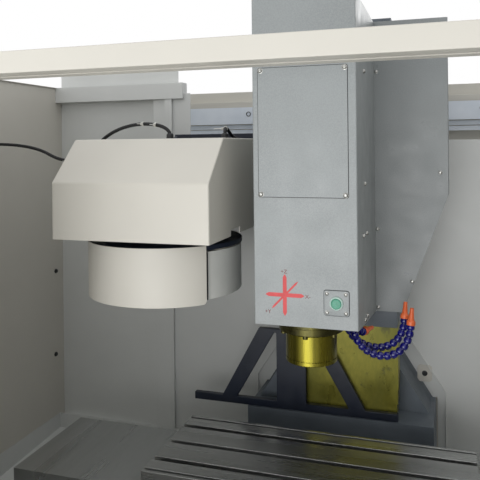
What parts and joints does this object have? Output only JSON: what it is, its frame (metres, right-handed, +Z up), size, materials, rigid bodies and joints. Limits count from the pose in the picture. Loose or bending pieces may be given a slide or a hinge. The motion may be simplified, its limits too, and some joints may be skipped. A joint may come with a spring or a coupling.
{
  "type": "vertical machining centre",
  "caption": "Vertical machining centre: column with sliding head and spindle, side tool magazine, T-slot table on a saddle, blue coolant hoses, sliding doors and rear cabinet.",
  "frame": {"origin": "on the floor in the middle of the footprint", "axes": "+Z up, the operator stands at -Y, the tool magazine is at -X of the spindle"},
  "size_m": [2.32, 2.136, 2.26],
  "materials": {
    "casting": "painted grey-blue casting",
    "cream": "off-white paint",
    "head_grey": "light grey paint",
    "wing_grey": "shaded grey paint",
    "wall_grey": "grey sheet, oil-stained",
    "dark_blue": "dark blue-grey paint",
    "steel": "machined steel",
    "cover_steel": "sheet steel",
    "oiled_steel": "steel with a yellow oil film",
    "motor_black": "black paint",
    "link_blue": "blue plastic links",
    "nozzle_orange": "orange plastic",
    "green_plastic": "green plastic",
    "start_green": "green plastic",
    "stop_red": "red plastic",
    "black_plastic": "black plastic",
    "conduit": "black corrugated tube",
    "gear_plastic": "light grey housings",
    "window": "clear safety pane",
    "box_grey": "light grey paint"
  },
  "bodies": {
    "machine": {"base": "casting", "levelling_feet": "steel", "column": "casting", "servo_motors": "motor_black", "brace_frame": "dark_blue", "way_covers_fixed": "cover_steel", "rear_wall": "wall_grey", "side_panel_left": "cream", "side_panel_right": "cream", "front_panel_left": "cream", "front_panel_right": "cream", "front_apron": "cream", "header_beam": "cream", "chip_pans": "wall_grey", "coolant_tank": "box_grey", "electrical_cabinet": "cream", "cabinet_equipment": "gear_plastic", "magazine_arm": "dark_blue", "magazine_cover": "cream", "cable_conduits": "conduit"},
    "saddle": {"saddle": "casting", "y_covers_saddle": "cover_steel", "x_servo_motor": "motor_black"},
    "y_cover": {"y_covers_middle": "cover_steel"},
    "table": {"table": "steel", "x_way_covers": "cover_steel"},
    "head": {"headstock": "casting", "z_cover_upper": "cover_steel", "head_cover": "head_grey", "access_panel": "head_grey", "head_wings": "wing_grey", "button_plate": "head_grey", "cover_screws": "steel", "spindle_housing": "oiled_steel", "spindle_motor": "motor_black", "coolant_manifold": "motor_black", "coolant_hoses": "link_blue", "coolant_nozzles": "nozzle_orange"},
    "z_cover": {"z_cover_middle": "cover_steel"},
    "x_screw": {"x_screw": "steel"},
    "y_screw": {"y_screw": "steel"},
    "z_screw": {"z_screw": "steel"},
    "spindle": {"spindle_shaft": "steel"},
    "unclamp": {"unclamp_button": "green_plastic"},
    "magazine": {"magazine_carriage": "dark_blue", "magazine_skirt": "cream"},
    "shutter": {"magazine_shutter": "cream"},
    "disc": {"tool_disc": "steel", "tool_grippers": "black_plastic"},
    "left_door": {"door_left": "cream", "window_left": "window"},
    "right_door": {"door_right": "cream", "window_right": "window"},
    "rear_door": {"cabinet_door": "cream"},
    "main_switch": {"main_switch": "stop_red"},
    "control_box": {"control_box": "box_grey"},
    "stop": {"emergency_stop": "stop_red"},
    "handwheel": {"handwheel": "black_plastic"},
    "override": {"override_knob": "black_plastic"},
    "start": {"start_button": "start_green"}
  },
  "joints": [
    {"name": "head_slide", "type": "slide", "parent": "machine", "child": "head", "axis": [0, 0, 1], "range_m": [-0.06, 0.34]},
    {"name": "z_cover_slide", "type": "slide", "parent": "machine", "child": "z_cover", "axis": [0, 0, 1], "range_m": [-0.031, 0.171]},
    {"name": "saddle_slide", "type": "slide", "parent": "machine", "child": "saddle", "axis": [0, 1, 0], "range_m": [-0.2, 0.2]},
    {"name": "y_cover_slide", "type": "slide", "parent": "machine", "child": "y_cover", "axis": [0, 1, 0], "range_m": [-0.101, 0.101]},
    {"name": "table_slide", "type": "slide", "parent": "saddle", "child": "table", "axis": [1, 0, 0], "range_m": [-0.3, 0.3]},
    {"name": "x_screw_spin", "type": "hinge", "parent": "saddle", "child": "x_screw", "pos_m": [0, -0.276, 0.74], "axis": [1, 0, 0], "range_deg": [-6800, 6800]},
    {"name": "y_screw_spin", "type": "hinge", "parent": "machine", "child": "y_screw", "pos_m": [0, -0.276, 0.605], "axis": [0, 1, 0], "range_deg": [-4550, 4550]},
    {"name": "z_screw_spin", "type": "hinge", "parent": "machine", "child": "z_screw", "pos_m": [0, 0.22, 1.4], "axis": [0, 0, 1], "range_deg": [-1400, 7700]},
    {"name": "spindle_spin", "type": "hinge", "parent": "head", "child": "spindle", "pos_m": [0, -0.276, 1.16], "axis": [0, 0, 1], "continuous": true},
    {"name": "unclamp_push", "type": "slide", "parent": "head", "child": "unclamp", "axis": [0, 1, 0], "range_m": [0, 0.004], "stiffness_N_per_m": 500},
    {"name": "magazine_slide", "type": "slide", "parent": "machine", "child": "magazine", "axis": [1, 0, 0], "range_m": [0, 0.07]},
    {"name": "shutter_swing", "type": "hinge", "parent": "magazine", "child": "shutter", "pos_m": [-0.4, -0.276, 1.44], "axis": [0, 0, 1], "range_deg": [-1, 78]},
    {"name": "disc_spin", "type": "hinge", "parent": "magazine", "child": "disc", "pos_m": [-0.4, -0.276, 1.41], "axis": [0, 0, 1], "continuous": true},
    {"name": "left_door_slide", "type": "slide", "parent": "machine", "child": "left_door", "axis": [1, 0, 0], "range_m": [0, 0.549]},
    {"name": "right_door_slide", "type": "slide", "parent": "machine", "child": "right_door", "axis": [-1, 0, 0], "range_m": [0, 0.549]},
    {"name": "rear_door_swing", "type": "hinge", "parent": "machine", "child": "rear_door", "pos_m": [-0.768, 1.024, 1.117], "axis": [0, 0, 1], "range_deg": [0, 110]},
    {"name": "main_switch_turn", "type": "hinge", "parent": "rear_door", "child": "main_switch", "pos_m": [0.58, 1.044, 1.35], "axis": [0, 1, 0], "range_deg": [0, 90]},
    {"name": "control_box_swing", "type": "hinge", "parent": "machine", "child": "control_box", "pos_m": [1.094, -0.896, 1.36], "axis": [0, 0, 1], "range_deg": [0, 85]},
    {"name": "stop_push", "type": "slide", "parent": "control_box", "child": "stop", "axis": [0, 1, 0], "range_m": [0, 0.005]},
    {"name": "handwheel_turn", "type": "hinge", "parent": "control_box", "child": "handwheel", "pos_m": [0.755, -1.016, 1.18], "axis": [0, 1, 0], "continuous": true},
    {"name": "override_turn", "type": "hinge", "parent": "control_box", "child": "override", "pos_m": [0.88, -1.016, 1.155], "axis": [0, 1, 0], "range_deg": [-135, 135]},
    {"name": "start_push", "type": "slide", "parent": "control_box", "child": "start", "axis": [0, 1, 0], "range_m": [0, 0.003], "stiffness_N_per_m": 500}
  ],
  "couplings": [
    {"joint": "z_cover_slide", "follows": "head_slide", "ratio": 0.5},
    {"joint": "y_cover_slide", "follows": "saddle_slide", "ratio": 0.5},
    {"joint": "x_screw_spin", "follows": "table_slide", "rad_per_m": 392.7},
    {"joint": "y_screw_spin", "follows": "saddle_slide", "rad_per_m": 392.7},
    {"joint": "z_screw_spin", "follows": "head_slide", "rad_per_m": 392.7},
    {"joint": "shutter_swing", "follows": "magazine_slide", "rad_per_m": 18.7}
  ]
}
